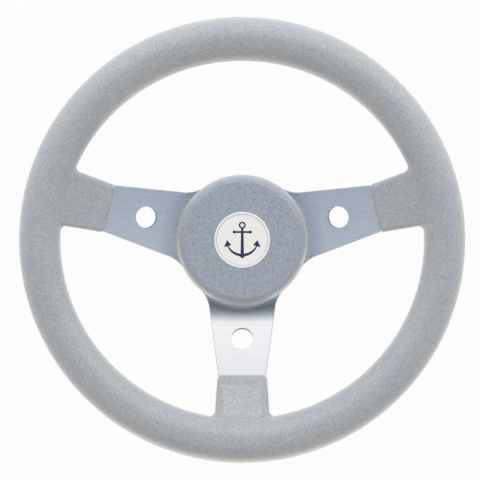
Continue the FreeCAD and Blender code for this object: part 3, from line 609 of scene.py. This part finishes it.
class Shader(Nodes):
    """Nodes of a new material for a piece."""

    def __init__(self, name):
        super().__init__(bpy.data.materials.new(name))
        self.surface = self.new("BsdfPrincipled")
        self.finish(self.surface.outputs[0])
        self.coordinates = self.new("TexCoord")
        self.place = self.coordinates.outputs["Object"]

    def stretched(self, scale):
        """Place with its x, y and z times the three numbers of scale."""
        node = self.new("VectorMath")
        node.operation = "MULTIPLY"
        node.inputs[1].default_value = scale
        self.put(self.place, node.inputs[0])
        return node.outputs[0]

    def noise(self, scale, detail=2.0, rough=0.5, place=None):
        node = self.new("TexNoise")
        self.put_all(node, scale=scale, detail=detail, roughness=rough, vector=place or self.place)
        return node.outputs["Fac"]

    def cells(self, scale):
        node = self.new("TexVoronoi")
        self.put_all(node, scale=scale, vector=self.place)
        return node.outputs["Distance"]

    def toned(self, colour, value):
        """Colour times a grey value."""
        grey = self.new("CombineColor")
        for channel in range(3):
            self.put(value, grey.inputs[channel])
        return self.mixed(1.0, colour, grey.outputs[0], "MULTIPLY")

    def bump(self, height, strength, distance):
        """Fine relief of the surface."""
        node = self.new("Bump")
        self.put_all(node, strength=strength, distance=distance, height=height)
        self.put(node.outputs[0], self.surface.inputs["Normal"])

    def set(self, **values):
        """Set the look of the surface."""
        self.put_all(self.surface, **values)


# Panel in the front of the bottom sleeve, painted lighter: a painted highlight for the light from
# above that falls on its upturned face
PANEL_HALF_WIDTH = 15.2 * MM
PANEL_TOP = -110.5 * MM
PANEL_END = -135.0 * MM
PANEL_DEPTH = 55.0 * MM
PANEL_BLUR = 1.2 * MM
PANEL_DEPTH_BLUR = 1.0 * MM


def painted_highlight_mask(shader):
    """1 on the bottom sleeve's panel, which gets the painted highlight, and 0 elsewhere."""
    x, y, z = shader.split(shader.place)
    aside = shader.math("ABSOLUTE", x)
    within = shader.ranged(aside, PANEL_HALF_WIDTH - PANEL_BLUR, PANEL_HALF_WIDTH, low=1, high=0)
    below = shader.ranged(z, PANEL_TOP - PANEL_BLUR, PANEL_TOP, low=1, high=0)
    above = shader.ranged(z, PANEL_END, PANEL_END + PANEL_BLUR)
    front = shader.ranged(y, -PANEL_DEPTH, -PANEL_DEPTH - PANEL_DEPTH_BLUR)
    return shader.math("MULTIPLY", shader.math("MULTIPLY", within, below),
                       shader.math("MULTIPLY", above, front))


# Values between which most of a noise lies, and narrower ones for stronger contrast
NOISE_SPAN = (0.3, 0.7)
STREAK_SPAN = (0.35, 0.65)
BLOTCH_SPAN = (0.38, 0.62)
FLAKE_SPAN = (0.4, 0.7)

# Share of the pores in the foam's relief
PORE_SHARE = 0.6

# Brushing: waves per metre along x, y and z of the streaks and of the wide bands
STREAK_WAVES = (9, 300, 1900)
BAND_WAVES = (3, 60, 240)
STREAK_SHARE = 0.6
BAND_SHARE = 0.4

# How squarely a face looks forwards or back, from a side face with painted shade to a brushed face
SHADED_SIDE_FACING = (0.8, 0.93)

# Turned lines per metre, the tone of the darker ones, and of moulded plastic's lighter blotches
LATHE_WAVES = 2600.0
LATHE_DARK = 0.92
MOULD_LIGHT = 1.18


def foam(name, cool, warm, bloom, painted_highlight=None):
    """Self-skinned foam: fine grain, soft blotches of tone, a satin skin and a bloom at its limbs."""
    shader = Shader(name)
    blotch = shader.ranged(shader.noise(scale=48, detail=3, rough=0.6), *BLOTCH_SPAN)
    base = shader.mixed(blotch, cool, warm)
    grain = shader.noise(scale=880, detail=3, rough=0.75)
    speck = shader.ranged(grain, *NOISE_SPAN, low=0.68, high=1.32)
    # painted highlight: a lighter colour painted on the bottom sleeve's front panel, where light from
    # above falls
    if painted_highlight:
        base = shader.mixed(painted_highlight_mask(shader), base, painted_highlight)
    satin = shader.ranged(shader.noise(scale=240), *NOISE_SPAN, low=0.36, high=0.45)
    shader.set(base_color=shader.toned(base, speck), roughness=satin, ior=1.6, specular_ior_level=0.5)
    shader.set(sheen_weight=bloom, sheen_roughness=0.5, sheen_tint=(1.0, 1.0, 0.94))
    pores = shader.math("MULTIPLY", shader.noise(scale=900, detail=3, rough=0.6), PORE_SHARE)
    relief = shader.math("ADD", shader.cells(scale=1150), pores)
    shader.bump(relief, strength=0.25, distance=0.1 * MM)
    return shader.owner


def brushed(name, colour, rough, lines, bump, edge=None):
    """Metal brushed in straight lines along X. edge is a dark colour painted as shade on the faces
    that look sideways: the plate's edges and its hole walls.
    """
    shader = Shader(name)
    streak = shader.noise(scale=1.0, detail=3, rough=0.6, place=shader.stretched(STREAK_WAVES))
    band = shader.noise(scale=1.0, place=shader.stretched(BAND_WAVES))
    both = shader.math("ADD", shader.math("MULTIPLY", streak, STREAK_SHARE),
                       shader.math("MULTIPLY", band, BAND_SHARE))
    face = shader.toned(colour, shader.ranged(both, *STREAK_SPAN, low=1 - lines, high=1 + lines))
    # painted shade: faces that look sideways get the dark edge colour
    if edge:
        normal = shader.split(shader.coordinates.outputs["Normal"])
        facing = shader.math("ABSOLUTE", normal[1])
        face = shader.mixed(shader.ranged(facing, *SHADED_SIDE_FACING, low=1, high=0), face, edge)
    shader.set(base_color=face, metallic=1.0)
    shader.set(roughness=shader.ranged(streak, *NOISE_SPAN, *rough))
    shader.bump(streak, strength=bump, distance=0.03 * MM)
    return shader.owner


def moulded(name, colour, rough):
    """Moulded plastic with a fine spark texture."""
    shader = Shader(name)
    tone = shader.ranged(shader.noise(scale=90, detail=3), *NOISE_SPAN)
    lighter = tuple(min(1.0, MOULD_LIGHT * channel) for channel in colour)
    gloss = shader.ranged(shader.noise(scale=300), *NOISE_SPAN, low=rough - 0.06, high=rough + 0.08)
    shader.set(base_color=shader.mixed(tone, colour, lighter), roughness=gloss)
    sparks = shader.noise(scale=1400, detail=3, rough=0.6)
    shader.bump(sparks, strength=0.3, distance=0.06 * MM)
    return shader.owner


def turned_metal(name, colour, rough):
    """Metal with fine lines that run around the wheel's axis, as from a lathe."""
    shader = Shader(name)
    x, y, z = shader.split(shader.place)
    squares = shader.math("ADD", shader.math("MULTIPLY", x, x), shader.math("MULTIPLY", z, z))
    join = shader.new("CombineXYZ")
    shader.put(shader.math("MULTIPLY", shader.math("SQRT", squares), LATHE_WAVES), join.inputs[0])
    shader.put(shader.math("MULTIPLY", y, LATHE_WAVES), join.inputs[1])
    rings = shader.noise(scale=1.0, detail=3, rough=0.6, place=join.outputs[0])
    darker = tuple(LATHE_DARK * channel for channel in colour)
    gloss = shader.ranged(rings, *NOISE_SPAN, low=rough - 0.05, high=rough + 0.07)
    shader.set(base_color=shader.mixed(rings, darker, colour), metallic=1.0, roughness=gloss)
    shader.bump(rings, strength=0.1, distance=0.02 * MM)
    return shader.owner


def lacquered(name, colour, metallic):
    """Satin silver lacquer with a fine metal flake."""
    shader = Shader(name)
    flakes = shader.ranged(shader.noise(scale=2200), *FLAKE_SPAN, low=0.95, high=1.03)
    satin = shader.ranged(shader.noise(scale=300), *NOISE_SPAN, low=0.28, high=0.36)
    shader.set(base_color=shader.toned(colour, flakes), metallic=metallic, roughness=satin)
    shader.set(coat_weight=0.4, coat_roughness=0.1)
    return shader.owner


def pearl(name, colour):
    """Glossy pearl lacquer under a clear coat."""
    shader = Shader(name)
    cloud = shader.ranged(shader.noise(scale=55, detail=3), *STREAK_SPAN)
    flakes = shader.ranged(shader.noise(scale=1500), *FLAKE_SPAN, low=0.96, high=1.04)
    red, green, blue = colour
    tint = shader.mixed(cloud, colour, (red, green * 0.99, blue * 0.97))
    shader.set(base_color=shader.toned(tint, flakes), roughness=0.35)
    shader.set(coat_weight=0.5, coat_roughness=0.08)
    return shader.owner


def paint(node, material):
    """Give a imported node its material."""
    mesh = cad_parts[node].data
    mesh.materials.clear()
    mesh.materials.append(material)
    for polygon in mesh.polygons:
        polygon.material_index = 0


def dress():
    """All materials, and the four pieces with meshes of their own."""
    steel = brushed("zinc_steel", (0.42, 0.43, 0.45), rough=(0.35, 0.5), lines=0.05, bump=0.05)
    rivet = brushed("rivet_metal", (0.72, 0.73, 0.75), rough=(0.3, 0.45), lines=0.04, bump=0.05)
    paint("rim_core", steel)
    for name in SPOKE_ANGLES:
        paint("core_tab_" + name, steel)
        paint("spoke_rivets_" + name, rivet)
    # The plate's edge colour is painted shade on its sideways faces and hole walls.
    make_plate(brushed("brushed_anodised", (0.86, 0.86, 0.847), rough=(0.235, 0.285), lines=0.02,
                       bump=0.02, edge=(0.12, 0.115, 0.12)))
    paint("hub_body", moulded("hub_nylon", (0.062, 0.066, 0.075), rough=0.5))
    paint("taper_bush", turned_metal("bush_turned", (0.74, 0.74, 0.75), rough=0.32))
    paint("hub_inserts", turned_metal("insert_turned", (0.78, 0.6, 0.3), rough=0.3))
    paint("hub_screws", turned_metal("screw_stainless", (0.66, 0.66, 0.68), rough=0.26))
    paint("pad_carrier", moulded("carrier_abs", (0.085, 0.09, 0.1), rough=0.48))
    paint("pad_ring", moulded("ring_rubber", (0.02, 0.02, 0.021), rough=0.62))
    paint("emblem_tape", moulded("tape_foam", (0.8, 0.8, 0.8), rough=0.8))
    make_bezel(lacquered("bezel_silver", (0.95, 0.965, 0.98), metallic=0.15))
    paint("emblem_disc", pearl("pearl_white", (0.93, 0.915, 0.88)))
    paint("emblem_motif", moulded("motif_ink", (0.018, 0.02, 0.095), rough=0.35))
    # The grip's panel colour is a painted highlight on the bottom sleeve's front.
    make_grip(foam("grip_foam", cool=(0.371, 0.391, 0.432), warm=(0.398, 0.408, 0.412), bloom=0.62,
                   painted_highlight=(0.43, 0.458, 0.48)))
    make_pad_cover(foam("pad_foam", cool=(0.323, 0.356, 0.429), warm=(0.336, 0.367, 0.418),
                        bloom=0.62))


# Camera, on the wheel's axis, with the rim as large and as placed as in the photograph

CAMERA_DISTANCE = 2.0
PHOTO_SIDE_PX = 480
RIM_RADIUS_PX = 223.06
AXIS_PX = (242.25, 239.9)
SENSOR_MM = 36.0


def make_camera():
    """Camera that looks along +Y."""
    data = bpy.data.cameras.new("camera")
    focal_px = RIM_RADIUS_PX * CAMERA_DISTANCE / OUTER_RADIUS
    data.sensor_width = SENSOR_MM
    data.lens = focal_px / PHOTO_SIDE_PX * SENSOR_MM
    data.shift_x = -(AXIS_PX[0] - PHOTO_SIDE_PX / 2) / PHOTO_SIDE_PX
    data.shift_y = (AXIS_PX[1] - PHOTO_SIDE_PX / 2) / PHOTO_SIDE_PX
    camera = new_object("camera", data)
    camera.location = (0, -HOOP_DEPTH - CAMERA_DISTANCE, 0)
    camera.rotation_euler = (math.radians(90), 0, 0)
    bpy.context.scene.camera = camera


# Studio

WHITE = (0.975, 0.975, 0.975)

# Light of the room in front, all around and behind, the last two below, level and above
MIDDLE_LIGHT = (0.73, 0.69, 0.70)
RING_LIGHT = ((0.38, 0.39, 0.38), (1.07, 1.04, 0.99), (1.40, 1.48, 1.53))
BACK_LIGHT = ((0.68, 0.68, 0.69), (1.08, 1.08, 1.06), (1.08, 1.08, 1.06))
LEVEL_FADE = (-0.6, 0.0)
UP_FADE = (0.0, 0.6)
ASIDE_FADE = (-1.0, -0.6)
BEHIND_FADE = (-0.1, 0.5)

# Name, place, size, power, colour, and whether gloss shows it
LAMPS = (
    ("top_softbox", (0, 0.25, 1.9), (1.8, 1.2), 1.0, (1.0, 1.0, 1.0), True),
    ("front_softbox", (0.9, -1.35, 1.6), (2.2, 1.5), 7.0, (1.0, 1.0, 1.0), False),
    ("low_softbox", (0, 0.9, -1.4), (1.6, 1.0), 24.0, (1.0, 0.98, 0.86), False),
)
LAMP_TARGET = Vector((0, -0.05, 0))

# Floor, with the distances between which it fades to white, and how white it is at each
FLOOR_HEIGHT = -0.34
FLOOR_RADIUS = 1.7
FLOOR_CORNERS = 64
FLOOR_COLOUR = (0.76, 0.73, 0.66)
FLOOR_FADE = (0.4, 1.5)
FLOOR_WHITE_SHARE = (0.55, 1.0)

# Screen in front of the wheel: its shape, in angles seen from the wheel, and its colours
CARD_RADIUS = 3.2
CARD_HALF_DEG = 80
CARD_HEIGHT_DEG = (-50, 60)
CARD_ROWS = 16
CARD_COLUMNS = 36
CARD_WHITE = (1.37, 1.36, 1.34)
CARD_SIDE = (0.256, 0.31, 0.458)
CARD_SIDE_FADE_DEG = (13, 22)
CARD_MIDDLE = (0.02, 0.05, 0.08)
CARD_MIDDLE_HALF_DEG = (8, 17)
CARD_MIDDLE_FROM_DEG = (0, 5)
CARD_MIDDLE_FADE_DEG = (18, 25)
CARD_SKY = (0.42, 0.475, 0.65)
CARD_SKY_FADE_DEG = (24, 33.5)


def first_bounce(nodes, path):
    """1 for rays that no diffuse surface has scattered yet."""
    return nodes.math("LESS_THAN", path.outputs["Diffuse Depth"], 0.5)


def shown_as_white(nodes, lit, white):
    """Mix of a lit shader and a white one for rays from the camera, gloss and glass."""
    path = nodes.new("LightPath")
    seen = path.outputs["Is Camera Ray"]
    for name in ("Is Glossy Ray", "Is Transmission Ray"):
        seen = nodes.math("MAXIMUM", seen, path.outputs[name])
    seen = nodes.math("MULTIPLY", seen, first_bounce(nodes, path))
    return nodes.mixed_shaders(seen, lit, white)


def make_world():
    """Soft light that is brightest above and behind, and plain white wherever it is seen."""
    world = bpy.data.worlds.new("studio")
    bpy.context.scene.world = world
    nodes = Nodes(world)
    _, y, z = nodes.split(nodes.new("TexCoord").outputs["Generated"])
    level = nodes.ranged(z, *LEVEL_FADE, smooth=True)
    up = nodes.ranged(z, *UP_FADE, smooth=True)
    aside = nodes.ranged(y, *ASIDE_FADE, smooth=True)
    behind = nodes.ranged(y, *BEHIND_FADE, smooth=True)
    ring, back = (nodes.mixed(up, nodes.mixed(level, low, middle), high)
                  for low, middle, high in (RING_LIGHT, BACK_LIGHT))
    colour = nodes.mixed(behind, nodes.mixed(aside, MIDDLE_LIGHT, ring), back)
    shader = shown_as_white(nodes, nodes.coloured("Background", colour),
                            nodes.coloured("Background", WHITE))
    nodes.finish(shader, "OutputWorld")


def stage_thing(name, vertices, faces, material):
    """Object that belongs to the studio and not to the wheel."""
    mesh = new_mesh(name, vertices, faces)
    mesh.materials.append(material)
    thing = new_object(name, mesh)
    return thing


def make_floor():
    """Pale floor with the wheel's shadow, plain white further out and clear from below."""
    nodes = Nodes(bpy.data.materials.new("floor_paper"))
    paper = nodes.coloured("BsdfDiffuse", FLOOR_COLOUR)
    length = nodes.new("VectorMath")
    length.operation = "LENGTH"
    nodes.put(nodes.new("TexCoord").outputs["Object"], length.inputs[0])
    share = nodes.ranged(length.outputs["Value"], *FLOOR_FADE, *FLOOR_WHITE_SHARE, smooth=True)
    pale = nodes.mixed_shaders(share, paper, nodes.coloured("Emission", WHITE))
    nodes.finish(nodes.mixed_shaders(nodes.new("NewGeometry").outputs["Backfacing"],
                                     shown_as_white(nodes, paper, pale),
                                     nodes.new("BsdfTransparent").outputs[0]))
    turns = [2 * math.pi * corner / FLOOR_CORNERS for corner in range(FLOOR_CORNERS)]
    edge = [(FLOOR_RADIUS * math.cos(turn), FLOOR_RADIUS * math.sin(turn), 0) for turn in turns]
    floor = stage_thing("floor", edge, [range(FLOOR_CORNERS)], nodes.owner)
    floor.location = (0, 0, FLOOR_HEIGHT)
    floor.visible_diffuse = False
    floor.visible_shadow = False


def card_material():
    """Glow that is dark low in the middle, blue-grey at the sides and white above."""
    nodes = Nodes(bpy.data.materials.new("grey_screen"))
    x, _, up = nodes.split(nodes.new("TexCoord").outputs["Object"])

    def fade(value, angles):
        start, end = (CARD_RADIUS * math.sin(math.radians(angle)) for angle in angles)
        return nodes.ranged(value, start, end, smooth=True)

    aside = fade(nodes.math("ABSOLUTE", x), CARD_MIDDLE_HALF_DEG)
    below = nodes.math("SUBTRACT", 1.0, fade(up, CARD_MIDDLE_FROM_DEG))
    sky = nodes.mixed(fade(up, CARD_MIDDLE_FADE_DEG), CARD_MIDDLE, CARD_SKY)
    middle = nodes.mixed(fade(up, CARD_SKY_FADE_DEG), sky, CARD_WHITE)
    side = nodes.mixed(fade(up, CARD_SIDE_FADE_DEG), CARD_SIDE, CARD_WHITE)
    colour = nodes.mixed(nodes.math("MAXIMUM", aside, below), middle, side)
    nodes.finish(nodes.mixed_shaders(first_bounce(nodes, nodes.new("LightPath")),
                                     nodes.new("BsdfTransparent").outputs[0],
                                     nodes.coloured("Emission", colour)))
    return nodes.owner


def make_card():
    """Curved screen in front of the wheel that is seen only in reflections."""
    low, high, half = (math.radians(angle) for angle in (*CARD_HEIGHT_DEG, CARD_HALF_DEG))
    vertices = []
    for row in range(CARD_ROWS + 1):
        up = low + (high - low) * row / CARD_ROWS
        for column in range(CARD_COLUMNS + 1):
            side = half * (2 * column / CARD_COLUMNS - 1)
            vertices.append((CARD_RADIUS * math.cos(up) * math.sin(side),
                             -CARD_RADIUS * math.cos(up) * math.cos(side),
                             CARD_RADIUS * math.sin(up)))
    wide = CARD_COLUMNS + 1
    starts = [row * wide + column for row in range(CARD_ROWS) for column in range(CARD_COLUMNS)]
    faces = [(start, start + 1, start + wide + 1, start + wide) for start in starts]
    card = stage_thing("grey_screen", vertices, faces, card_material())
    card.visible_camera = False
    card.visible_diffuse = False
    card.visible_transmission = False
    card.visible_shadow = False


def make_lamp(name, place, size, power, colour, in_gloss):
    """Lamp with a rectangular face that is turned to the wheel."""
    data = bpy.data.lights.new(name, "AREA")
    data.shape = "RECTANGLE"
    data.size, data.size_y = size
    data.energy = power
    data.color = colour
    lamp = new_object(name, data)
    lamp.location = place
    lamp.rotation_euler = (LAMP_TARGET - Vector(place)).to_track_quat("-Z", "Y").to_euler()
    lamp.visible_camera = False
    lamp.visible_glossy = in_gloss


dress()
make_world()
make_floor()
make_card()
for settings in LAMPS:
    make_lamp(*settings)
make_camera()
bpy.context.scene.view_settings.view_transform = "Standard"
